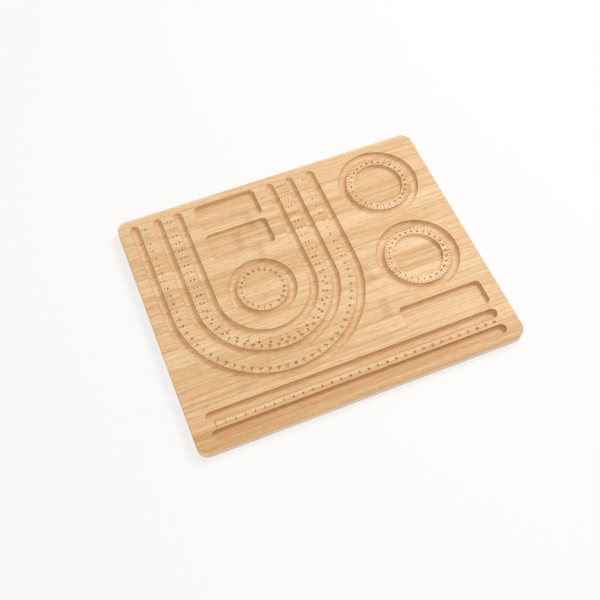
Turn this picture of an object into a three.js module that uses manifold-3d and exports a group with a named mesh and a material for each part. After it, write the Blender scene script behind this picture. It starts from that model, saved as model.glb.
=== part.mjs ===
// Bead board: a bamboo panel of two plies of staves, with milled channels, rings and pockets.
// Millimetres. +X runs along the ruler, +Y to the back, +Z up. The origin is at the middle of
// the underside.
import * as THREE from 'three';
import { mergeVertices } from 'three/addons/utils/BufferGeometryUtils.js';
import Module from 'manifold-3d';

// Panel
const topPly = 7.25;
const bottomPly = 6.25;
const staveWidth = 22.85;
const bottomFirstStave = 17;
const narrowestStave = 4;
const cornerRadius = 11;
const arris = 1;

// Ruler channels along the front edge
const frontMargin = 8.8;
const rulerChannelWidth = 10.4;
const rulerChannelDepth = 5.9;
const rulerFloorRadius = 2.9;
const rulerBand = 9.1;
const rulerEndMargin = 17.2;

// U-shaped channels, which share one centre
const leftMargin = 13.2;
const landBehindRuler = 4.1;
const backMargin = 9.8;
const channelWidth = 9.2;
const channelDepth = 5;
const uRadii = [53.6, 77, 102.4];

// Rings in the right column, counted from the back
const ringRadius = 40.2;
const dishRadius = 27;
const dishDepth = 4.2;
const dishFloorRadius = 1.2;
const ringGap = 12.3;
const columnGap = 16.2;
const rightMargin = 17;

// Small ring inside the U
const smallRingRadius = 31.5;

// Pockets
const pocketDepth = 5.2;
const pocketCorner = 5;
const pocketFloorRadius = 1;
const rightPocketWidth = 28.6;
const rightPocketLength = 93;
const landInFrontOfPocket = 7.4;
const landUnderRings = 7;
const uPocketLength = 69.4;
const uPocketWidth = 33.6;
const uPocketRib = 6.2;

// Colours of the staves
const honey = new THREE.Color(0xd2a878);
const cream = new THREE.Color(0xe6c392);
const toneStep = 0.618;

// Fineness of the facets
const coveSteps = 4;
const footSteps = 2;
const arrisSteps = 3;
const cornerSteps = 5;
const plungeSteps = 12;
const facetLength = 7;
const clearAbove = 2;

// Sizes that follow
const thickness = topPly + bottomPly;
const outerU = Math.max(...uRadii) + channelWidth / 2;
const ringOuter = ringRadius + channelWidth / 2;
const boardLength = leftMargin + 2 * outerU + columnGap + 2 * ringOuter + rightMargin;
const rulerStrip = frontMargin + 2 * rulerChannelWidth + rulerBand;
const boardDepth = rulerStrip + landInFrontOfPocket + rightPocketWidth + landUnderRings
  + 4 * ringOuter + ringGap + backMargin;
const left = -boardLength / 2;
const right = boardLength / 2;
const front = -boardDepth / 2;
const back = boardDepth / 2;
const uCentre = new THREE.Vector2(left + leftMargin + outerU, front + rulerStrip + landBehindRuler + outerU);
const ringX = right - rightMargin - ringOuter;
const backRingY = back - backMargin - ringOuter;
const frontRingY = backRingY - 2 * ringOuter - ringGap;

const wasm = await Module();
wasm.setup();

// Joins a geometry's shared corners and gives it as a solid
function solid(geometry) {
  const bare = geometry.index ? geometry.toNonIndexed() : geometry.clone();
  bare.deleteAttribute('normal');
  bare.deleteAttribute('uv');
  const merged = mergeVertices(bare, 1e-5);
  const mesh = new wasm.Mesh({
    numProp: 3,
    vertProperties: new Float32Array(merged.attributes.position.array),
    triVerts: new Uint32Array(merged.index.array),
  });
  return new wasm.Manifold(mesh);
}

// Gives a solid back as a geometry with flat faces
function geometryOf(manifold) {
  const mesh = manifold.getMesh();
  const geometry = new THREE.BufferGeometry();
  geometry.setAttribute('position', new THREE.BufferAttribute(mesh.vertProperties, 3));
  geometry.setIndex(new THREE.BufferAttribute(mesh.triVerts, 1));
  const flat = geometry.toNonIndexed();
  flat.computeVertexNormals();
  return flat;
}

// A box from its low corner to its high corner, with its faces exactly there
function boxBetween(low, high) {
  const geometry = new THREE.BoxGeometry(1, 1, 1);
  const position = geometry.attributes.position;
  for (let i = 0; i < position.count; i += 1) {
    const x = position.getX(i) < 0 ? low.x : high.x;
    const y = position.getY(i) < 0 ? low.y : high.y;
    const z = position.getZ(i) < 0 ? low.z : high.z;
    position.setXYZ(i, x, y, z);
  }
  return solid(geometry);
}

// A rectangle with round corners, about its own centre
function roundedRectangle(length, width, radius) {
  const x = length / 2 - radius;
  const y = width / 2 - radius;
  const shape = new THREE.Shape();
  shape.moveTo(x + radius, y);
  shape.absarc(x, y, radius, 0, Math.PI / 2, false);
  shape.absarc(-x, y, radius, Math.PI / 2, Math.PI, false);
  shape.absarc(-x, -y, radius, Math.PI, 1.5 * Math.PI, false);
  shape.absarc(x, -y, radius, 1.5 * Math.PI, 2 * Math.PI, false);
  return shape;
}

// The whole panel before any channel is cut
function panel() {
  const outline = roundedRectangle(boardLength, boardDepth, cornerRadius);
  const geometry = new THREE.ExtrudeGeometry(outline, {
    depth: thickness - 2 * arris,
    bevelThickness: arris,
    bevelSize: arris,
    bevelOffset: -arris,
    bevelSegments: arrisSteps,
    curveSegments: cornerSteps,
  });
  geometry.translate(0, 0, arris);
  return solid(geometry);
}

// Half of a hollow's section, from the middle of its floor over the rounded foot of its wall and up
// past the surface
function section(halfWidth, depth, footRadius, steps) {
  const floor = thickness - depth;
  const points = [new THREE.Vector2(0, floor)];
  for (let i = halfWidth > footRadius ? 0 : 1; i <= steps; i += 1) {
    const angle = (i / steps) * (Math.PI / 2);
    const across = halfWidth - footRadius * (1 - Math.sin(angle));
    points.push(new THREE.Vector2(across, floor + footRadius * (1 - Math.cos(angle))));
  }
  points.push(new THREE.Vector2(halfWidth, thickness + clearAbove));
  return points;
}

// The curved channels and the U's legs have a round bottom
function roundSection() {
  return section(channelWidth / 2, channelDepth, channelWidth / 2, coveSteps);
}

// The ruler channels have a flat floor
function rulerSection() {
  return section(rulerChannelWidth / 2, rulerChannelDepth, rulerFloorRadius, coveSteps);
}

// Half a section turned about an upright line
function turned(half, x, y, steps) {
  const geometry = new THREE.LatheGeometry([...half, new THREE.Vector2(0, thickness + clearAbove)], steps);
  geometry.rotateX(Math.PI / 2);
  geometry.translate(x, y, 0);
  return solid(geometry);
}

// The facets around a circle, a whole number in each quarter
function stepsAround(radius) {
  return 4 * Math.round((Math.PI * radius) / 2 / facetLength);
}

// A straight channel from its start along +X or +Y
function straightChannel(x, y, length, half, alongX) {
  const mirrored = half.slice(1).reverse().map((point) => new THREE.Vector2(-point.x, point.y));
  const geometry = new THREE.ExtrudeGeometry(new THREE.Shape([...mirrored, ...half]), {
    depth: length,
    bevelEnabled: false,
  });
  geometry.rotateX(Math.PI / 2);
  geometry.rotateZ(alongX ? Math.PI / 2 : Math.PI);
  geometry.translate(x, y, 0);
  return solid(geometry);
}

// A full ring channel about a centre
function ringChannel(x, y, radius) {
  const half = roundSection();
  const inner = half.slice(1).reverse().map((point) => new THREE.Vector2(radius - point.x, point.y));
  const outer = half.map((point) => new THREE.Vector2(radius + point.x, point.y));
  const geometry = new THREE.LatheGeometry([...inner, ...outer, inner[0].clone()], stepsAround(radius));
  geometry.rotateX(Math.PI / 2);
  geometry.translate(x, y, 0);
  return solid(geometry);
}

// A U channel: half a ring at the front and two straight legs that run to the back
function uChannel(radius) {
  const legLength = back - backMargin - channelWidth / 2 - uCentre.y;
  const reach = radius + channelWidth;
  const frontHalf = boxBetween(
    new THREE.Vector3(uCentre.x - reach, uCentre.y - reach, 0),
    new THREE.Vector3(uCentre.x + reach, uCentre.y, thickness + 2 * clearAbove),
  );
  let channel = ringChannel(uCentre.x, uCentre.y, radius).intersect(frontHalf);
  for (const side of [-1, 1]) {
    const x = uCentre.x + side * radius;
    channel = channel.add(straightChannel(x, uCentre.y, legLength, roundSection(), false));
    channel = channel.add(turned(roundSection(), x, uCentre.y + legLength, plungeSteps));
  }
  return channel;
}

// A ruler channel along the front edge, with its middle line at y
function rulerChannel(y) {
  const start = left + rulerEndMargin + rulerChannelWidth / 2;
  const length = boardLength - 2 * rulerEndMargin - rulerChannelWidth;
  let channel = straightChannel(start, y, length, rulerSection(), true);
  channel = channel.add(turned(rulerSection(), start, y, plungeSteps));
  return channel.add(turned(rulerSection(), start + length, y, plungeSteps));
}

// The shallow dish in the middle of a ring, with a small round at the foot of its wall
function dish(x, y) {
  const half = section(dishRadius, dishDepth, dishFloorRadius, footSteps);
  return turned(half, x, y, stepsAround(dishRadius));
}

// A pocket with round corners and a rounded foot to its walls
function pocket(x, y, length, width) {
  const outline = roundedRectangle(length, width, pocketCorner);
  const geometry = new THREE.ExtrudeGeometry(outline, {
    depth: pocketDepth - pocketFloorRadius + clearAbove,
    bevelThickness: pocketFloorRadius,
    bevelSize: pocketFloorRadius,
    bevelOffset: -pocketFloorRadius,
    bevelSegments: footSteps,
    curveSegments: cornerSteps,
  });
  geometry.translate(x, y, thickness - pocketDepth + pocketFloorRadius);
  return solid(geometry);
}

// Every hollow that is milled into the board
function hollows() {
  const firstRulerY = front + frontMargin + rulerChannelWidth / 2;
  const uPocketY = back - backMargin - uPocketWidth / 2;
  const rightPocketX = right - rightMargin - rightPocketLength / 2;
  const rightPocketY = front + rulerStrip + landInFrontOfPocket + rightPocketWidth / 2;
  return [
    rulerChannel(firstRulerY),
    rulerChannel(firstRulerY + rulerChannelWidth + rulerBand),
    ...uRadii.map((radius) => uChannel(radius)),
    ringChannel(uCentre.x, uCentre.y, smallRingRadius),
    ringChannel(ringX, frontRingY, ringRadius),
    ringChannel(ringX, backRingY, ringRadius),
    dish(ringX, frontRingY),
    dish(ringX, backRingY),
    pocket(uCentre.x, uPocketY, uPocketLength, uPocketWidth),
    pocket(uCentre.x, uPocketY - uPocketWidth - uPocketRib, uPocketLength, uPocketWidth),
    pocket(rightPocketX, rightPocketY, rightPocketLength, rightPocketWidth),
  ];
}

// The glue lines of a ply, from the front edge to the back one
function glueLines(firstWidth) {
  const lines = [front];
  for (let y = front + firstWidth; back - y > narrowestStave; y += staveWidth) {
    lines.push(y);
  }
  lines.push(back);
  return lines;
}

// Bamboo runs from cream to honey, and each stave's tone steps on from the one before
function bamboo(index) {
  const tone = (index * toneStep) % 1;
  const color = honey.clone().lerp(cream, tone);
  return new THREE.MeshStandardMaterial({ color, roughness: 0.55, metalness: 0 });
}

// Splits a ply into its staves and names each one, counted from the front
function staves(ply, name, lines, low, high) {
  const group = new THREE.Group();
  for (let i = 0; i + 1 < lines.length; i += 1) {
    const cell = boxBetween(
      new THREE.Vector3(left - clearAbove, i === 0 ? front - clearAbove : lines[i], low),
      new THREE.Vector3(right + clearAbove, i + 2 === lines.length ? back + clearAbove : lines[i + 1], high),
    );
    const stave = new THREE.Mesh(geometryOf(ply.intersect(cell)), bamboo(i));
    stave.name = `${name}_${String(i + 1).padStart(2, '0')}`;
    group.add(stave);
  }
  return group;
}

// The board, as two plies of staves
function beadBoard() {
  const blank = panel();
  const milled = hollows().reduce((rest, hollow) => rest.subtract(hollow), blank);
  const board = new THREE.Group();
  board.add(staves(blank, 'bottom_stave', glueLines(bottomFirstStave), -clearAbove, bottomPly));
  board.add(staves(milled, 'top_stave', glueLines(staveWidth), bottomPly, thickness + clearAbove));
  return board;
}

export default beadBoard();
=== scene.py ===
# A bamboo bead board: two plies of staves with milled channels, rings and pockets, and burnt scales.
import math

import bmesh
import bpy
from mathutils import Matrix, Vector


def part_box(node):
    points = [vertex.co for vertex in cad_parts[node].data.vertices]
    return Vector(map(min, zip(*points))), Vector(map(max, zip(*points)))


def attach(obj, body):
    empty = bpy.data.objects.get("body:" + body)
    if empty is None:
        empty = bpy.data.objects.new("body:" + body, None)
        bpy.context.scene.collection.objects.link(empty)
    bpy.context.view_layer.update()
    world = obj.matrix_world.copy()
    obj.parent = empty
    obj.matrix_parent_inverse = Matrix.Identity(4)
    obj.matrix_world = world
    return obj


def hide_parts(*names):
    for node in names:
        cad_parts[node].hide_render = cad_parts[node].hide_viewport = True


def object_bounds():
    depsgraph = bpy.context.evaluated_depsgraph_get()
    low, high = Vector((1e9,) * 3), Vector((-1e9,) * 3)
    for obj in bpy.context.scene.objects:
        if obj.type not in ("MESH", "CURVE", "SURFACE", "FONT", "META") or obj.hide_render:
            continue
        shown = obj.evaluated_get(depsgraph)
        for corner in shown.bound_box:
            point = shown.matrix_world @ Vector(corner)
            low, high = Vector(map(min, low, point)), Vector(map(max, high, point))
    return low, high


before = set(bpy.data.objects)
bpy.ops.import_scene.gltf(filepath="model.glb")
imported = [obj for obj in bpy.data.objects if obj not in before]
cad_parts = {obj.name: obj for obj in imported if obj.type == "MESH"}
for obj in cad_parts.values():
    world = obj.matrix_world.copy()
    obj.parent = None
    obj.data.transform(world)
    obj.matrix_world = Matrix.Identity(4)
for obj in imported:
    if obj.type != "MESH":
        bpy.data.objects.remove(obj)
cad_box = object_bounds()

MM = 0.001
MM_PER_METRE = 1000

# The board's staves and outer sizes
TOP_STAVES = sorted(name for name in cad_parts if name.startswith("top_stave"))
BOTTOM_STAVES = sorted(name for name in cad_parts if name.startswith("bottom_stave"))
LOW = Vector(cad_box[0])
HIGH = Vector(cad_box[1])
PLY_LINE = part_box(TOP_STAVES[0])[0].z
SURFACE = HIGH.z - 0.03 * MM
CORNER_RADIUS = 11 * MM
ARRIS = 1 * MM

# Channels and hollows
EASE = 0.3 * MM
CHANNEL_WIDTH = 9.2 * MM
CHANNEL_DEPTH = 5 * MM
RULER_CHANNEL_WIDTH = 10.4 * MM
RULER_CHANNEL_DEPTH = 5.9 * MM
RULER_FLOOR_RADIUS = 2.9 * MM
BACK_MARGIN = 9.8 * MM
RIGHT_MARGIN = 17 * MM
RULER_END_MARGIN = 17.2 * MM
FRONT_CHANNEL_INSET = 14 * MM
RULER_CHANNEL_SPACING = 19.5 * MM
RULER_Y = [LOW.y + FRONT_CHANNEL_INSET, LOW.y + FRONT_CHANNEL_INSET + RULER_CHANNEL_SPACING]
U_RADII = [53.6 * MM, 77 * MM, 102.4 * MM]
U_FROM_LEFT = 120.2 * MM
U_FROM_FRONT = 149.8 * MM
U_CENTRE = Vector((LOW.x + U_FROM_LEFT, LOW.y + U_FROM_FRONT, 0))
LEG_END_Y = HIGH.y - BACK_MARGIN - CHANNEL_WIDTH / 2
RING_RADIUS = 40.2 * MM
SMALL_RING_RADIUS = 31.5 * MM
RING_OUTER = RING_RADIUS + CHANNEL_WIDTH / 2
RING_X = HIGH.x - RIGHT_MARGIN - RING_OUTER
RING_SPACING = 101.9 * MM
BACK_RING_Y = HIGH.y - BACK_MARGIN - RING_OUTER
RING_Y = [BACK_RING_Y - RING_SPACING, BACK_RING_Y]
DISH_RADIUS = 27 * MM
DISH_DEPTH = 4.2 * MM
DISH_FLOOR_RADIUS = 1.2 * MM
POCKET_DEPTH = 5.2 * MM
POCKET_CORNER = 5 * MM
POCKET_FLOOR_RADIUS = 1 * MM
U_POCKET = (69.4 * MM, 33.6 * MM)
U_POCKET_STEP = 39.8 * MM
RIGHT_POCKET = (93 * MM, 28.6 * MM)
RIGHT_POCKET_FROM_FRONT = 60.4 * MM
RIGHT_POCKET_Y = LOW.y + RIGHT_POCKET_FROM_FRONT

# How far a cutter reaches past the surface, and what counts as lying on the board's edge
CLEAR_ABOVE = 3 * MM
LIP_OUT = 0.25 * MM
LIP_UP = 0.04 * MM
ON_THE_EDGE = 0.1 * MM

# How finely curves are divided
COVE_STEPS = 14
FOOT_STEPS = 8
EASE_STEPS = 4
ARRIS_STEPS = 6
CORNER_STEPS = 20
POCKET_CORNER_STEPS = 12
END_STEPS = 64
RING_STEPS = 144
SMALL_RING_STEPS = 120
U_STEPS = 192
SMOOTH_ANGLE = math.radians(32)
LEVEL_NORMAL = 0.9995

# Scales: one step is a real centimetre
CENTIMETRE = 10 * MM
RULER_INSET = 24.4 * MM
RULER_START = LOW.x + RULER_INSET
RULER_COUNT = 30
RED_NUMBERS = range(5, RULER_COUNT, 5)
RULER_NUMBERS_Y = LOW.y + 23.5 * MM
RULE_Y = LOW.y + 28.4 * MM
START_LINE = 7.2 * MM
LONG_TICK = 2 * MM
MIDDLE_TICK = 1.5 * MM
SHORT_TICK = 1 * MM
LEG_ZERO_INSET = 3.1 * MM
LEG_ZERO_Y = LEG_END_Y - LEG_ZERO_INSET
U_LINE_OFFSET = 2.2 * MM
DIGIT_HEIGHT = 2.6 * MM
DIGIT_GAP = 0.1
STROKE_GAIN = 0.03
TICK_WIDTH = 0.55 * MM
FINE_TICK_WIDTH = 0.3 * MM
INK_LIFT = 0.02 * MM
INK_THICKNESS = 0.018 * MM

# Each U's scale: the channel's radius, the numbers' radius on the legs and at the front, the ticks' radius
U_SCALES = {
    "outer_u_scale": (U_RADII[2], 91.9 * MM, 92.9 * MM, 95.3 * MM),
    "middle_u_scale": (U_RADII[1], 66.6 * MM, 67.8 * MM, 70.6 * MM),
    "inner_u_scale": (U_RADII[0], 62.8 * MM, 64.1 * MM, 59.8 * MM),
}
U_TICK = 1.8 * MM

# The ring scales lie between channel and middle
RING_TICK_RADIUS = 33.9 * MM
RING_NUMBER_RADIUS = 30.3 * MM
RING_TICK = 2.2 * MM
SMALL_RING_TICK_RADIUS = 25.5 * MM
SMALL_RING_NUMBER_RADIUS = 22.5 * MM
SMALL_RING_TICK = 1.5 * MM
HALF_TICK_SHARE = 0.8


# Materials

def tree_of(value):
    return value.socket.node.id_data


class Value:
    """A quantity that varies over a surface, which sums can be written with."""

    def __init__(self, socket):
        self.socket = socket

    def math(self, operation, *others):
        node = tree_of(self).nodes.new("ShaderNodeMath")
        node.operation = operation
        for place, item in enumerate((self, *others)):
            plug(node.inputs[place], item)
        return Value(node.outputs[0])

    def reflected(self, operation, other):
        node = tree_of(self).nodes.new("ShaderNodeMath")
        node.operation = operation
        plug(node.inputs[0], other)
        plug(node.inputs[1], self)
        return Value(node.outputs[0])

    def __add__(self, other):
        return self.math("ADD", other)

    def __radd__(self, other):
        return self.reflected("ADD", other)

    def __sub__(self, other):
        return self.math("SUBTRACT", other)

    def __rsub__(self, other):
        return self.reflected("SUBTRACT", other)

    def __mul__(self, other):
        return self.math("MULTIPLY", other)

    def __truediv__(self, other):
        return self.math("DIVIDE", other)

    def floor(self):
        return self.math("FLOOR")

    def size(self):
        return self.math("ABSOLUTE")

    def most(self, other):
        return self.math("MAXIMUM", other)

    def ramp(self, low, high):
        """0 below low, 1 above high and smooth between."""
        node = tree_of(self).nodes.new("ShaderNodeMapRange")
        node.interpolation_type = "SMOOTHSTEP"
        plug(node.inputs["Value"], self)
        node.inputs["From Min"].default_value = low
        node.inputs["From Max"].default_value = high
        return Value(node.outputs[0])


def plug(socket, item):
    if isinstance(item, Value):
        socket.id_data.links.new(item.socket, socket)
    else:
        socket.default_value = item


class Finish:
    """One material under construction."""

    def __init__(self, name):
        self.material = bpy.data.materials.new(name)
        self.material.use_nodes = True
        self.tree = self.material.node_tree
        self.shader = self.tree.nodes["Principled BSDF"]

    def add(self, kind, settings=None, inputs=None):
        node = self.tree.nodes.new(kind)
        for key, item in (settings or {}).items():
            setattr(node, key, item)
        for key, item in (inputs or {}).items():
            plug(node.inputs[key], item)
        return node

    def place(self):
        """X, Y and Z on the piece, in millimetres."""
        where = self.add("ShaderNodeTexCoord").outputs["Object"]
        parts = self.add("ShaderNodeSeparateXYZ", inputs={"Vector": Value(where)})
        return [Value(parts.outputs[axis]) * MM_PER_METRE for axis in "XYZ"]

    def vector(self, x, y, z):
        node = self.add("ShaderNodeCombineXYZ", inputs={"X": x, "Y": y, "Z": z})
        return Value(node.outputs[0])

    def noise(self, x, y, z, detail=2.0, rough=0.5):
        node = self.add(
            "ShaderNodeTexNoise",
            {"noise_dimensions": "3D"},
            {"Vector": self.vector(x, y, z), "Scale": 1.0, "Detail": detail, "Roughness": rough},
        )
        return Value(node.outputs["Fac"])

    def cells(self, x, y, z):
        node = self.add("ShaderNodeTexVoronoi", inputs={"Vector": self.vector(x, y, z), "Scale": 1.0})
        return Value(node.outputs["Distance"])

    def chance(self, seed):
        node = self.add("ShaderNodeTexWhiteNoise", {"noise_dimensions": "1D"}, {"W": seed})
        return Value(node.outputs["Value"])

    def mix(self, factor, first, second):
        node = self.add("ShaderNodeMix", {"data_type": "RGBA", "clamp_factor": True})
        plug(node.inputs["Factor"], factor)
        plug(node.inputs[6], first)
        plug(node.inputs[7], second)
        return Value(node.outputs[2])

    def stops(self, factor, colours, interpolation="LINEAR"):
        node = self.add("ShaderNodeValToRGB", inputs={"Fac": factor})
        ramp = node.color_ramp
        ramp.interpolation = interpolation
        while len(ramp.elements) < len(colours):
            ramp.elements.new(1.0)
        for element, (position, colour) in zip(ramp.elements, colours):
            element.position = position
            element.color = colour
        return Value(node.outputs["Color"])

    def bump(self, height, distance, strength):
        inputs = {"Height": height, "Distance": distance, "Strength": strength}
        node = self.add("ShaderNodeBump", inputs=inputs)
        plug(self.shader.inputs["Normal"], Value(node.outputs[0]))

    def finish(self, colour, roughness, **constants):
        plug(self.shader.inputs["Base Color"], colour)
        plug(self.shader.inputs["Roughness"], roughness)
        for key, item in constants.items():
            self.shader.inputs[key.replace("_", " ")].default_value = item
        return self.material


def srgb(red, green, blue):
    """A colour written in 0 to 255 display values, as linear light."""
    levels = [level / 255 for level in (red, green, blue)]
    linear = [((c + 0.055) / 1.055) ** 2.4 if c > 0.04045 else c / 12.92 for c in levels]
    return (*linear, 1.0)


# Bamboo colours
# Painted bounce light for the lower ply
BOUNCE_LIGHT_COLOUR = srgb(250, 236, 212)
CREAM = srgb(249, 220, 180)
PALE = srgb(241, 206, 159)
HONEY = srgb(230, 189, 139)
TAN = srgb(212, 163, 110)
FIBRE = srgb(176, 118, 68)
KNUCKLE = srgb(164, 101, 57)
# Painted shade just under the surface on the hollows' walls
WALL_TOP_SHADE_COLOUR = srgb(156, 88, 44)
# Painted shade near the board's foot
FOOT_SHADE_COLOUR = srgb(168, 144, 124)
GLUE = srgb(142, 94, 54)

# Knuckles: the joints of the cane, as x and y on the board in millimetres and how strong each shows
TOP_KNUCKLES = [
    (-58, 77, 1.0), (-39, 97, 0.8), (-42, 52, 0.9), (54, -9, 0.9), (53, -60, 0.9),
    (-112, -88, 0.5), (150, -118, 0.45), (-150, 20, 0.5), (118, 128, 0.4), (12, 120, 0.5),
]
BOTTOM_KNUCKLES = [
    (-120, -133, 0.9), (60, -110, 0.8), (-20, -90, 1.0), (130, -68, 0.9), (-90, -45, 0.8), (30, -20, 1.0),
    (-140, 0, 0.7), (95, 25, 0.9), (-45, 47, 1.0), (150, 70, 0.8), (-110, 92, 0.9), (20, 115, 0.8),
]

# Patches inside a stave that are paler or browner: x, y, half length in millimetres and change of tone
TOP_PATCHES = [
    (113, 6, 34, 0.34), (113, -16, 30, -0.2), (113, -36, 30, 0.2),
    (100, -84, 60, 0.12), (113, 75, 34, -0.12),
]

# Tones across the top ply, front to back: 0 is browner, 1 is paler
TOP_TONES = [0.26, 0.56, 0.52, 0.50, 0.68, 0.55, 0.60, 0.48, 0.78, 0.55, 0.64, 0.62, 0.58]
TONE_PLACES = 16

# Lengths in the bamboo, in millimetres
WANDER = 1.6
KNUCKLE_REACH = 8.5
RIDGE_OFFSET = 4
GLUE_BAND = 2.4
GLUE_LINE = 0.34
GLUE_CORE = 0.04
MILLED_DEPTH = 6
WALL_TOP_SHADE_FADES = (1.7, 0.7)
END_RIM = (9, 6)
SIDE_RIM = (6.5, 4)
FOOT_SHADE_HEIGHTS = (1.0, 5.5)

# Relief of the fibres and of the burnt marks
FIBRE_RELIEF = 0.1 * MM
INK_RELIEF = 0.04 * MM

# How strongly each mark in the bamboo shows
FIBRE_SHOWS = 0.62
HAIR_SHOWS = 0.22
DASH_SHOWS = 0.42
VEIN_SHOWS = 0.42
KNUCKLE_SHOWS = 0.52
GLUE_BAND_SHOWS = 0.3
SAWN_DOTS_SHOW = 0.42
SAWN_TINT = 0.14
# The next four are painted shade and painted light: on the hollows' walls, just under the surface, on the
# outer faces, and near the foot
HOLLOW_WALL_SHADE = 0.14
WALL_TOP_SHADE_SHOWS = 0.45
RIM_PAINTED_LIGHT = 0.34
FOOT_SHADE_SHOWS = 0.5


def listed_tone(f, stave, tones):
    """Each stave's own tone, from a list."""
    stops = [((i + 0.001) / TONE_PLACES, (tone, tone, tone, 1)) for i, tone in enumerate(tones)]
    grey = f.stops((stave + 0.5) / TONE_PLACES, stops, "CONSTANT")
    parts = f.add("ShaderNodeSeparateColor", inputs={"Color": grey})
    return Value(parts.outputs[0])


def bamboo(name, first_line, stave_width, knuckles, patches, seed, tones, bounce_light):
    """Long-grained bamboo, stave by stave: streaks and fibres along X, dots on the sawn ends."""
    f = Finish(name)
    x, y, z = f.place()
    along = (y - first_line) / stave_width
    stave = along.floor()
    luck = f.chance(stave + seed)
    shift = stave * 17.3 + seed

    def inside_stave(at):
        """1 in the stave that lies at this y, and 0 in the others."""
        home = math.floor((at - first_line) / stave_width)
        return 1 - (stave - home).size().ramp(0.4, 0.6)

    # Slow wander, so that no streak is dead straight
    wander = f.noise(x * 0.012, y * 0.05, shift, detail=1.0) - 0.5
    v = y + wander * WANDER

    broad = f.noise(x * 0.0035 + shift, v * 0.22, z * 0.3 + shift, detail=2.0)
    band = f.noise(x * 0.006 + shift, v * 0.6, z * 0.6, detail=2.0, rough=0.6)
    fibre = f.noise(x * 0.014 + shift, v * 1.25, z * 1.25, detail=2.0, rough=0.65)
    hair = f.noise(x * 0.04, v * 4.2 + shift, z * 4.2, detail=1.0, rough=0.6)
    flecks = f.noise(x * 0.12 + shift, v * 2.2, z * 2.2, detail=0.0)
    mottle = f.noise(x * 0.09 + shift, v * 0.5, z * 0.5, detail=3.0, rough=0.6)
    vein = f.noise(x * 0.007 + shift, v * 0.33, z * 0.33 + shift, detail=1.0)

    # Base tone: each stave has its own, and broad bands and soft mottling move it
    tone = listed_tone(f, stave, tones) if tones else luck * 0.3 + 0.35
    tone = tone + (broad - 0.5) * 1.15 + (band - 0.5) * 1.1 + (mottle - 0.5) * 0.7
    for px, py, half, change in patches:
        spread = 1 - ((x - px + (broad - 0.5) * 30).size() / half).ramp(0.6, 1.1)
        tone = tone + inside_stave(py) * spread * change
    colour = f.stops(tone, [(0.0, TAN), (0.36, HONEY), (0.64, PALE), (1.0, CREAM)])
    # Painted bounce light: the ply is mixed towards a near-white, for light thrown up from the floor
    colour = f.mix(bounce_light, colour, BOUNCE_LIGHT_COLOUR)

    # Fibres: soft lines, fine hairs and short dashes
    colour = f.mix(fibre.ramp(0.50, 0.74) * FIBRE_SHOWS, colour, TAN)
    colour = f.mix(hair.ramp(0.5, 0.8) * HAIR_SHOWS, colour, FIBRE)
    dash = flecks.ramp(0.62, 0.76) * band.ramp(0.3, 0.55)
    colour = f.mix(dash * DASH_SHOWS, colour, FIBRE)

    # Veins: long single dark lines, as thin as a hair
    streak = 1 - (vein - 0.5).size().ramp(0.003, 0.022)
    colour = f.mix(streak * mottle.ramp(0.35, 0.6) * VEIN_SHOWS, colour, FIBRE)

    # Knuckles sit inside one stave and are short, speckled and browner
    speckle = f.noise(x * 0.8, y * 1.5, z * 1.5 + seed, detail=2.0, rough=0.7).ramp(0.47, 0.62)
    knuckle = None
    for kx, ky, strength in knuckles:
        spread = 1 - ((x - kx + (broad - 0.5) * 8).size() / KNUCKLE_REACH).ramp(0.05, 1.0)
        ridge = 1 - (x - kx - RIDGE_OFFSET + (mottle - 0.5) * 5).size().ramp(0.2, 0.8)
        mark = inside_stave(ky) * (spread * (speckle * 0.95 + 0.1)).most(ridge * 0.7) * strength
        knuckle = mark if knuckle is None else knuckle.most(mark)
    colour = f.mix(knuckle * KNUCKLE_SHOWS, colour, KNUCKLE)

    # Glue line: a hair of darker brown where two staves meet, with a soft browner band beside it
    edge = (along - stave - 0.5).size()
    beside = edge.ramp(0.5 - GLUE_BAND / stave_width, 0.5)
    colour = f.mix(beside * luck * GLUE_BAND_SHOWS, colour, TAN)
    seam = edge.ramp(0.5 - GLUE_LINE / stave_width, 0.5 - GLUE_CORE / stave_width)
    seam = seam * (luck * 0.45 + 0.16)
    colour = f.mix(seam, colour, GLUE)

    # Sawn ends, where the fibre bundles are cut across and show as dots
    normal = f.add("ShaderNodeNewGeometry").outputs["Normal"]
    facing = f.add("ShaderNodeSeparateXYZ", inputs={"Vector": Value(normal)})
    sawn = Value(facing.outputs["X"]).size().ramp(0.75, 0.97)
    dots = 1 - f.cells(x * 0.1, y * 1.3, z * 1.3).ramp(0.12, 0.34)
    colour = f.mix(sawn * (dots * SAWN_DOTS_SHOW + SAWN_TINT), colour, FIBRE)

    # Upright faces in the hollows get painted shade, a shade browner, and a darker painted shade just under
    # the surface
    top, right, back = SURFACE / MM, HIGH.x / MM, HIGH.y / MM
    side = 1 - Value(facing.outputs["Z"]).size().ramp(0.2, 0.95)
    end_rim = x.size().ramp(right - END_RIM[0], right - END_RIM[1])
    rim = end_rim.most(y.size().ramp(back - SIDE_RIM[0], back - SIDE_RIM[1]))
    hollow_wall = side * z.ramp(top - MILLED_DEPTH, top - MILLED_DEPTH + 0.5) * (1 - rim)
    colour = f.mix(hollow_wall * HOLLOW_WALL_SHADE, colour, TAN)
    # Painted shade: a darker band on the hollows' walls just under the surface
    wall_top_shade = hollow_wall * z.ramp(top - WALL_TOP_SHADE_FADES[0], top - WALL_TOP_SHADE_FADES[1])
    colour = f.mix(wall_top_shade * WALL_TOP_SHADE_SHOWS, colour, WALL_TOP_SHADE_COLOUR)

    # Painted light: the board's outer faces are made paler. Painted shade: they turn greyer near the foot
    colour = f.mix(side * rim * RIM_PAINTED_LIGHT, colour, CREAM)
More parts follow.
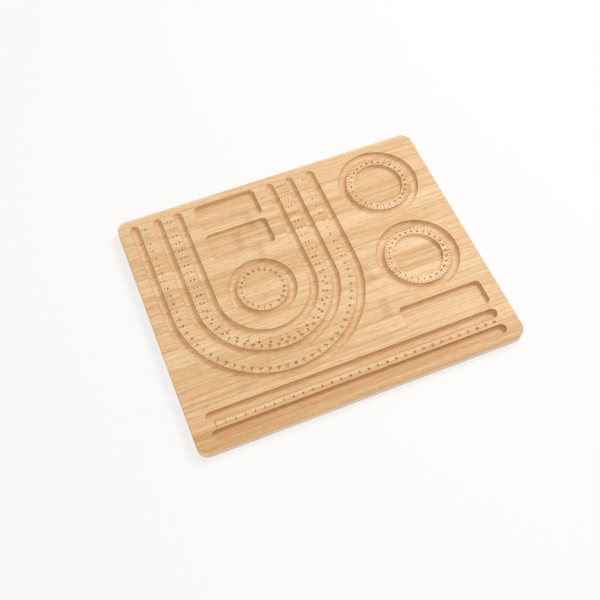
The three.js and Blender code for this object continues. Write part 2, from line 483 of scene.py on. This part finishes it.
    # Painted shade: the outer faces turn greyer towards the bottom edge
    foot = rim * (1 - z.ramp(*FOOT_SHADE_HEIGHTS))
    colour = f.mix(foot * FOOT_SHADE_SHOWS, colour, FOOT_SHADE_COLOUR)

    rough = 0.50 + (fibre - 0.5) * 0.18 + (broad - 0.5) * 0.10 + sawn * 0.18 + knuckle * 0.08
    height = (fibre - 0.5) * 0.55 + (hair - 0.5) * 0.25 - dash * 0.5 - knuckle * 0.5 - seam * 0.5
    f.bump(height, FIBRE_RELIEF, 0.55)
    return f.finish(colour, rough, Coat_Weight=0.06, Coat_Roughness=0.35, Specular_IOR_Level=0.35)


def ink(name, dark, faded):
    """A burnt or printed mark, uneven where the fibres took it differently."""
    f = Finish(name)
    x, y, z = f.place()
    patch = f.noise(x * 0.35, y * 1.6, z, detail=3.0, rough=0.6)
    grain = f.noise(x * 0.4, y * 5.0, z, detail=1.0)
    colour = f.mix(patch.ramp(0.35, 0.75) * 0.7 + grain.ramp(0.5, 0.8) * 0.3, dark, faded)
    f.bump(grain, INK_RELIEF, 0.4)
    return f.finish(colour, 0.62 + (patch - 0.5) * 0.2, Specular_IOR_Level=0.08)


# Mesh helpers

def placed(name, mesh):
    """Turns a mesh under construction into an object."""
    data = bpy.data.meshes.new(name)
    mesh.to_mesh(data)
    mesh.free()
    piece = bpy.data.objects.new(name, data)
    bpy.context.scene.collection.objects.link(piece)
    return piece


def finished(name, mesh, material):
    piece = placed(name, mesh)
    piece.data.materials.append(material)
    return piece


def shade(data):
    """Smooth over shallow edges, and flat on the broad level faces."""
    mesh = bmesh.new()
    mesh.from_mesh(data)
    for face in mesh.faces:
        face.smooth = abs(face.normal.z) < LEVEL_NORMAL
    for edge in mesh.edges:
        edge.smooth = len(edge.link_faces) == 2 and edge.calc_face_angle(0.0) < SMOOTH_ANGLE
    mesh.to_mesh(data)
    mesh.free()


def spun(points, centre, steps, closed):
    """A closed solid of revolution about a vertical axis, from a profile of (radius, height)."""
    mesh = bmesh.new()
    verts = [mesh.verts.new((radius, 0, height)) for radius, height in points]
    edges = [mesh.edges.new(pair) for pair in zip(verts, verts[1:])]
    if closed:
        edges.append(mesh.edges.new((verts[-1], verts[0])))
    bmesh.ops.spin(mesh, geom=verts + edges, cent=(0, 0, 0), axis=(0, 0, 1), dvec=(0, 0, 0),
                   angle=2 * math.pi, steps=steps, use_merge=True)
    bmesh.ops.remove_doubles(mesh, verts=mesh.verts, dist=1e-7)
    bmesh.ops.recalc_face_normals(mesh, faces=mesh.faces)
    bmesh.ops.translate(mesh, verts=mesh.verts, vec=centre)
    return mesh


def arc(centre, radius, start, end, steps):
    """Points on an arc, with angles in degrees."""
    angles = [math.radians(start + (end - start) * i / steps) for i in range(steps + 1)]
    return [(centre[0] + radius * math.cos(a), centre[1] + radius * math.sin(a)) for a in angles]


def eased_lip(half_width):
    """From a wall out over the rounded edge of the surface, and up clear of it."""
    lip = arc((half_width + EASE, SURFACE - EASE), EASE, 180, 100, EASE_STEPS)
    out = lip[-1][0] + LIP_OUT
    return lip + [(out, SURFACE + LIP_UP), (out, SURFACE + CLEAR_ABOVE)]


def section(half_width, depth, foot_radius, steps=COVE_STEPS):
    """Half a hollow's section: floor, rounded foot, wall and eased edge."""
    floor = HIGH.z - depth
    foot = arc((half_width - foot_radius, floor + foot_radius), foot_radius, 270, 360, steps)
    middle = [(0, floor)] if half_width > foot_radius else []
    return middle + foot + eased_lip(half_width)


ROUND_SECTION = section(CHANNEL_WIDTH / 2, CHANNEL_DEPTH, CHANNEL_WIDTH / 2)
RULER_SECTION = section(RULER_CHANNEL_WIDTH / 2, RULER_CHANNEL_DEPTH, RULER_FLOOR_RADIUS)
DISH_SECTION = section(DISH_RADIUS, DISH_DEPTH, DISH_FLOOR_RADIUS, FOOT_STEPS)


def ring_cutter(centre, radius, steps=RING_STEPS):
    inner = [(radius - r, h) for r, h in reversed(ROUND_SECTION[1:])]
    outer = [(radius + r, h) for r, h in ROUND_SECTION]
    return spun(inner + outer, centre, steps, True)


def turned_cutter(x, y, half, steps):
    """Half a section turned about an upright line."""
    return spun(half + [(0, SURFACE + CLEAR_ABOVE)], (x, y, 0), steps, False)


def straight_cutter(start, end, half):
    """A channel from start to end, closed and square at both ends."""
    outline = [(-r, h) for r, h in reversed(half[1:])] + half
    run = Vector(end) - Vector(start)
    across = Vector((-run.y, run.x, 0)).normalized()
    mesh = bmesh.new()
    verts = [mesh.verts.new(Vector(start) + across * r + Vector((0, 0, h))) for r, h in outline]
    face = mesh.faces.new(verts)
    grown = bmesh.ops.extrude_face_region(mesh, geom=[face])
    moved = [item for item in grown["geom"] if isinstance(item, bmesh.types.BMVert)]
    bmesh.ops.translate(mesh, verts=moved, vec=run)
    bmesh.ops.recalc_face_normals(mesh, faces=mesh.faces)
    return mesh


def half_ring_cutter(centre, radius):
    """The front half of a ring channel, closed where it was cut."""
    mesh = ring_cutter(centre, radius, U_STEPS)
    geometry = mesh.verts[:] + mesh.edges[:] + mesh.faces[:]
    cut = bmesh.ops.bisect_plane(mesh, geom=geometry, plane_co=centre, plane_no=(0, 1, 0), clear_outer=True)
    rim = [item for item in cut["geom_cut"] if isinstance(item, bmesh.types.BMEdge)]
    bmesh.ops.edgeloop_fill(mesh, edges=rim)
    bmesh.ops.recalc_face_normals(mesh, faces=mesh.faces)
    return mesh


def rounded_outline(mesh, centre, length, width, radius, height, steps):
    """One face with the outline of a rectangle with round corners."""
    points = []
    for sx, sy, start in ((1, 1, 0), (-1, 1, 90), (-1, -1, 180), (1, -1, 270)):
        corner = (centre[0] + sx * (length / 2 - radius), centre[1] + sy * (width / 2 - radius))
        points += arc(corner, radius, start, start + 90, steps)
    return mesh.faces.new([mesh.verts.new((px, py, height)) for px, py in points])


def layered(centre, length, width, radius, profile, steps):
    """A solid with round corners, whose outline grows and shrinks up a profile of (growth, height)."""
    mesh = bmesh.new()
    faces = []
    for grow, height in profile:
        size = (length + 2 * grow, width + 2 * grow)
        faces.append(rounded_outline(mesh, centre, *size, radius + grow, height, steps))
    outlines = [list(face.edges) for face in faces]
    for face in faces[1:-1]:
        mesh.faces.remove(face)
    for lower, upper in zip(outlines, outlines[1:]):
        bmesh.ops.bridge_loops(mesh, edges=lower + upper)
    bmesh.ops.recalc_face_normals(mesh, faces=mesh.faces)
    return mesh


def pocket_cutter(centre, length, width):
    """A pocket: floor, rounded foot, straight wall and eased edge."""
    foot_centre = (-POCKET_FLOOR_RADIUS, HIGH.z - POCKET_DEPTH + POCKET_FLOOR_RADIUS)
    profile = arc(foot_centre, POCKET_FLOOR_RADIUS, 270, 360, FOOT_STEPS) + eased_lip(0)
    return layered(centre, length, width, POCKET_CORNER, profile, POCKET_CORNER_STEPS)


def blank():
    """The panel before milling, with its round corners and rounded arrises."""
    low = arc((-ARRIS, LOW.z + ARRIS), ARRIS, 270, 360, ARRIS_STEPS)
    high = arc((-ARRIS, SURFACE - ARRIS), ARRIS, 0, 90, ARRIS_STEPS)
    middle = (0, (LOW.y + HIGH.y) / 2)
    return layered(middle, HIGH.x - LOW.x, HIGH.y - LOW.y, CORNER_RADIUS, low + high, CORNER_STEPS)


def cutters():
    """Every cutter, one for each stretch that the milling machine ran."""
    found = []
    start = LOW.x + RULER_END_MARGIN + RULER_CHANNEL_WIDTH / 2
    end = HIGH.x - RULER_END_MARGIN - RULER_CHANNEL_WIDTH / 2
    for y in RULER_Y:
        found.append(straight_cutter((start, y, 0), (end, y, 0), RULER_SECTION))
        found.append(turned_cutter(start, y, RULER_SECTION, END_STEPS))
        found.append(turned_cutter(end, y, RULER_SECTION, END_STEPS))
    for radius in U_RADII:
        found.append(half_ring_cutter(U_CENTRE, radius))
        for side in (-1, 1):
            x = U_CENTRE.x + side * radius
            found.append(straight_cutter((x, U_CENTRE.y, 0), (x, LEG_END_Y, 0), ROUND_SECTION))
            found.append(turned_cutter(x, LEG_END_Y, ROUND_SECTION, END_STEPS))
    found.append(ring_cutter(U_CENTRE, SMALL_RING_RADIUS, SMALL_RING_STEPS))
    for y in RING_Y:
        found.append(ring_cutter(Vector((RING_X, y, 0)), RING_RADIUS))
        found.append(turned_cutter(RING_X, y, DISH_SECTION, RING_STEPS))
    back_y = HIGH.y - BACK_MARGIN - U_POCKET[1] / 2
    found.append(pocket_cutter((U_CENTRE.x, back_y), *U_POCKET))
    found.append(pocket_cutter((U_CENTRE.x, back_y - U_POCKET_STEP), *U_POCKET))
    right_x = HIGH.x - RIGHT_MARGIN - RIGHT_POCKET[0] / 2
    found.append(pocket_cutter((right_x, RIGHT_POCKET_Y), *RIGHT_POCKET))
    return found


def milled_board():
    """The panel with every channel and pocket cut out of it."""
    board = placed("board", blank())
    tools = [placed(f"tool_{i}", mesh) for i, mesh in enumerate(cutters())]
    for tool in tools:
        cut = board.modifiers.new(tool.name, "BOOLEAN")
        cut.operation = "DIFFERENCE"
        cut.solver = "MANIFOLD"
        cut.object = tool
    bpy.context.view_layer.update()
    evaluated = board.evaluated_get(bpy.context.evaluated_depsgraph_get())
    mesh = bmesh.new()
    mesh.from_mesh(evaluated.to_mesh())
    evaluated.to_mesh_clear()
    for piece in [board] + tools:
        data = piece.data
        bpy.data.objects.remove(piece)
        bpy.data.meshes.remove(data)
    return mesh


def slice_off(mesh, point, normal):
    """Keeps what lies behind the plane and closes the cut."""
    geometry = mesh.verts[:] + mesh.edges[:] + mesh.faces[:]
    cut = bmesh.ops.bisect_plane(mesh, geom=geometry, dist=1e-8, plane_co=point, plane_no=normal,
                                 clear_outer=True)
    rim = [item for item in cut["geom_cut"] if isinstance(item, bmesh.types.BMEdge)]
    if rim:
        bmesh.ops.triangle_fill(mesh, edges=rim, use_beauty=False, use_dissolve=True, normal=normal)


def make_stave(whole, node, material):
    """One stave, cut from the milled board along its glue lines."""
    low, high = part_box(node)
    mesh = whole.copy()
    top = node in TOP_STAVES
    slice_off(mesh, (0, 0, PLY_LINE), (0, 0, -1) if top else (0, 0, 1))
    if low.y > LOW.y + ON_THE_EDGE:
        slice_off(mesh, (0, low.y, 0), (0, -1, 0))
    if high.y < HIGH.y - ON_THE_EDGE:
        slice_off(mesh, (0, high.y, 0), (0, 1, 0))
    piece = finished(node.replace("stave", "bamboo"), mesh, material)
    shade(piece.data)
    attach(piece, "root")
    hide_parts(node)


# Numbers and ticks

def digit_shapes():
    """The ten digits as flat outlines, each with its lower left at the origin and one unit high."""
    shapes = {}
    for digit in "0123456789":
        curve = bpy.data.curves.new("digit_" + digit, "FONT")
        curve.body = digit
        curve.resolution_u = 3
        curve.offset = STROKE_GAIN
        holder = bpy.data.objects.new(curve.name, curve)
        bpy.context.scene.collection.objects.link(holder)
        bpy.context.view_layer.update()
        data = bpy.data.meshes.new_from_object(holder.evaluated_get(bpy.context.evaluated_depsgraph_get()))
        corners = [v.co for v in data.vertices]
        left = min(c.x for c in corners)
        right = max(c.x for c in corners)
        low = min(c.y for c in corners)
        high = max(c.y for c in corners)
        data.transform(Matrix.Translation((-left, -low, 0)))
        data.transform(Matrix.Scale(1 / (high - low), 4))
        shapes[digit] = (data, (right - left) / (high - low))
        bpy.data.objects.remove(holder)
    return shapes


DIGITS = digit_shapes()


def write(mesh, text, x, y):
    """Sets a number upright with its middle at x, y."""
    height = DIGIT_HEIGHT
    width = sum(DIGITS[c][1] for c in text) + DIGIT_GAP * (len(text) - 1)
    cursor = -width / 2
    for character in text:
        data, advance = DIGITS[character]
        before = len(mesh.verts)
        mesh.from_mesh(data)
        mesh.verts.ensure_lookup_table()
        fresh = mesh.verts[before:]
        place = Matrix.Translation((x + cursor * height, y - height / 2, SURFACE + INK_LIFT))
        bmesh.ops.transform(mesh, matrix=place @ Matrix.Diagonal((height, height, 1, 1)), verts=fresh)
        cursor += advance + DIGIT_GAP


def tick(mesh, x, y, turn, length, width=TICK_WIDTH):
    """A short stroke centred at x, y, along the direction turn in radians."""
    made = bmesh.ops.create_grid(mesh, x_segments=1, y_segments=1, size=0.5)["verts"]
    shape = Matrix.Diagonal((length, width, 1, 1))
    place = Matrix.Translation((x, y, SURFACE + INK_LIFT)) @ Matrix.Rotation(turn, 4, "Z")
    bmesh.ops.transform(mesh, matrix=place @ shape, verts=made)


def mark_piece(name, mesh, material):
    """Numbers and ticks as one thin piece on the surface."""
    thick = bmesh.ops.extrude_face_region(mesh, geom=mesh.faces[:])
    lowered = [item for item in thick["geom"] if isinstance(item, bmesh.types.BMVert)]
    bmesh.ops.translate(mesh, verts=lowered, vec=(0, 0, -INK_THICKNESS))
    bmesh.ops.recalc_face_normals(mesh, faces=mesh.faces)
    piece = finished(name, mesh, material)
    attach(piece, "root")


def ruler_scale(brown, red):
    """Centimetres and millimetres between the straight channels; every fifth number but the last is red."""
    dark = bmesh.new()
    bright = bmesh.new()
    tick(dark, RULER_START, RULE_Y - START_LINE / 2, math.pi / 2, START_LINE)
    for i in range(1, RULER_COUNT + 1):
        write(bright if i in RED_NUMBERS else dark, str(i), RULER_START + i * CENTIMETRE, RULER_NUMBERS_Y)
    for i in range(1, RULER_COUNT * 10 + 1):
        length = LONG_TICK if i % 10 == 0 else MIDDLE_TICK if i % 5 == 0 else SHORT_TICK
        tick(dark, RULER_START + i * MM, RULE_Y - length / 2, math.pi / 2, length, FINE_TICK_WIDTH)
    mark_piece("ruler_numbers", dark, brown)
    mark_piece("ruler_red_numbers", bright, red)


def ring_scale(name, centre, outer, tick_radius, number_radius, tick_length, material, halves=True):
    """Centimetres along a ring's outer edge, clockwise from the front."""
    mesh = bmesh.new()
    count = int(2 * math.pi * outer / CENTIMETRE)
    step = CENTIMETRE / outer
    for i in range(count):
        angle = -math.pi / 2 - i * step
        write(mesh, str(i), centre.x + number_radius * math.cos(angle),
              centre.y + number_radius * math.sin(angle))
        tick(mesh, centre.x + tick_radius * math.cos(angle), centre.y + tick_radius * math.sin(angle),
             angle, tick_length)
        if halves:
            middle = angle - step / 2
            tick(mesh, centre.x + tick_radius * math.cos(middle), centre.y + tick_radius * math.sin(middle),
                 middle, tick_length * HALF_TICK_SHARE)
    mark_piece(name, mesh, material)


def u_scale(name, radius, leg_numbers, front_numbers, ticks, material):
    """Centimetres from the back of each leg of a U round to its front, where both counts meet."""
    mesh = bmesh.new()
    line = radius + U_LINE_OFFSET
    leg = LEG_ZERO_Y - U_CENTRE.y
    total = leg + line * math.pi / 2
    for i in range(int((total + MM) / CENTIMETRE) + 1):
        turn = min(max(0, i * CENTIMETRE - leg) / line, math.pi / 2)
        up = max(0, leg - i * CENTIMETRE)
        meeting = total - i * CENTIMETRE < MM
        numbers = leg_numbers + (front_numbers - leg_numbers) * math.sin(turn)
        for side in (1,) if meeting else (-1, 1):
            along = side * math.cos(turn)
            write(mesh, str(i), U_CENTRE.x + along * numbers, U_CENTRE.y + up - numbers * math.sin(turn))
            tick(mesh, U_CENTRE.x + along * ticks, U_CENTRE.y + up - ticks * math.sin(turn),
                 -side * turn, U_TICK)
    mark_piece(name, mesh, material)


# Stage

FLOOR_REACH = 4.0
FLOOR_GLOW = 0.7
DAYLIGHT = (1.0, 0.96, 0.91, 1)
DAYLIGHT_STRENGTH = 0.56
WHITE = (1, 1, 1, 1)


def seen_directly(tree):
    """1 for the camera and for what glossy or clear surfaces show, and 0 for the light itself."""
    rays = tree.nodes.new("ShaderNodeLightPath")
    kinds = ("Camera", "Glossy", "Transmission")
    camera, glossy, clear = [Value(rays.outputs[f"Is {kind} Ray"]) for kind in kinds]
    return camera.most(glossy).most(clear)


def lit_floor():
    f = Finish("pale_floor")
    x, y, _ = f.place()
    soft = f.noise(x * 0.002, y * 0.002, 0.0, detail=1.0)
    colour = f.mix(soft, (0.92, 0.92, 0.92, 1), (0.96, 0.96, 0.96, 1))
    f.finish(colour, 0.9)
    glow = f.add("ShaderNodeEmission", inputs={"Color": WHITE, "Strength": 1.0})
    shadowed = f.add("ShaderNodeMixShader")
    f.tree.links.new(f.shader.outputs[0], shadowed.inputs[1])
    f.tree.links.new(glow.outputs[0], shadowed.inputs[2])
    plug(shadowed.inputs[0], seen_directly(f.tree) * FLOOR_GLOW)
    f.tree.links.new(shadowed.outputs[0], f.tree.nodes["Material Output"].inputs["Surface"])
    mesh = bmesh.new()
    bmesh.ops.create_grid(mesh, x_segments=1, y_segments=1, size=FLOOR_REACH)
    finished("floor", mesh, f.material)


def light(name, place, width, height, energy, colour):
    """A soft rectangular light that faces the board."""
    lamp = bpy.data.lights.new(name, "AREA")
    lamp.shape = "RECTANGLE"
    lamp.size = width
    lamp.size_y = height
    lamp.energy = energy
    lamp.color = colour
    holder = bpy.data.objects.new(name, lamp)
    holder.location = place
    holder.rotation_euler = (-Vector(place)).to_track_quat("-Z", "Y").to_euler()
    holder.visible_camera = False
    bpy.context.scene.collection.objects.link(holder)


def studio():
    world = bpy.data.worlds.new("studio")
    bpy.context.scene.world = world
    world.use_nodes = True
    tree = world.node_tree
    daylight = tree.nodes["Background"]
    daylight.inputs["Color"].default_value = DAYLIGHT
    daylight.inputs["Strength"].default_value = DAYLIGHT_STRENGTH
    backdrop = tree.nodes.new("ShaderNodeBackground")
    backdrop.inputs["Color"].default_value = WHITE
    chosen = tree.nodes.new("ShaderNodeMixShader")
    plug(chosen.inputs[0], seen_directly(tree))
    tree.links.new(daylight.outputs[0], chosen.inputs[1])
    tree.links.new(backdrop.outputs[0], chosen.inputs[2])
    tree.links.new(chosen.outputs[0], tree.nodes["World Output"].inputs["Surface"])
    light("window", (0.92, 0.34, 1.40), 0.6, 0.6, 13.4, (1.0, 0.985, 0.97))
    light("fill", (-1.0, -0.6, 1.6), 1.6, 1.6, 3.0, (1.0, 0.97, 0.93))
    light("low_card", (-0.25, -1.25, 0.10), 1.2, 0.14, 2.6, (1.0, 0.97, 0.94))
    bpy.context.scene.view_settings.view_transform = "Standard"


def photo_camera():
    """The photograph's own view, worked out from the board's corners and circles."""
    focal_pixels = 880.66
    image_pixels = 600
    data = bpy.data.cameras.new("photo_camera")
    data.sensor_width = 36
    data.lens = focal_pixels * data.sensor_width / image_pixels
    data.clip_start = 0.01
    camera = bpy.data.objects.new("photo_camera", data)
    camera.location = Vector((-199.6, -440.6, 800.2)) * MM
    target = Vector((-22.93, -16.54, 7.01)) * MM
    roll = math.radians(0.56)
    facing = (target - camera.location).to_track_quat("-Z", "Y").to_matrix().to_4x4()
    camera.rotation_euler = (facing @ Matrix.Rotation(roll, 4, "Z")).to_euler()
    bpy.context.scene.collection.objects.link(camera)
    bpy.context.scene.camera = camera


# Each ply's pattern starts one stave's width in front of its first glue line
first_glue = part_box(TOP_STAVES[0])[1].y
stave_width = (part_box(TOP_STAVES[1])[1].y - first_glue) / MM
top_line = first_glue / MM - stave_width
bottom_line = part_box(BOTTOM_STAVES[0])[1].y / MM - stave_width
top_bamboo = bamboo("top_bamboo", top_line, stave_width, TOP_KNUCKLES, TOP_PATCHES,
                    seed=3.7, tones=TOP_TONES, bounce_light=0.0)
# The lower ply gets painted bounce light
bottom_bamboo = bamboo("bottom_bamboo", bottom_line, stave_width, BOTTOM_KNUCKLES, [],
                       seed=41.2, tones=None, bounce_light=0.4)
burnt = ink("burnt_mark", srgb(122, 56, 10), srgb(164, 92, 34))
deep_burnt = ink("deep_burnt_mark", srgb(84, 38, 6), srgb(128, 66, 20))
red = ink("red_mark", srgb(172, 60, 42), srgb(196, 104, 74))

photo_camera()
studio()
lit_floor()

board = milled_board()
for node in TOP_STAVES:
    make_stave(board, node, top_bamboo)
for node in BOTTOM_STAVES:
    make_stave(board, node, bottom_bamboo)
board.free()

ruler_scale(burnt, red)
for name, sizes in U_SCALES.items():
    u_scale(name, *sizes, burnt)
ring_scale("small_ring_scale", U_CENTRE, SMALL_RING_RADIUS + CHANNEL_WIDTH / 2,
           SMALL_RING_TICK_RADIUS, SMALL_RING_NUMBER_RADIUS, SMALL_RING_TICK, deep_burnt, halves=False)
for name, y in zip(("front_ring_scale", "back_ring_scale"), RING_Y):
    ring_scale(name, Vector((RING_X, y, 0)), RING_OUTER,
               RING_TICK_RADIUS, RING_NUMBER_RADIUS, RING_TICK, deep_burnt)
for data, _ in DIGITS.values():
    bpy.data.meshes.remove(data)
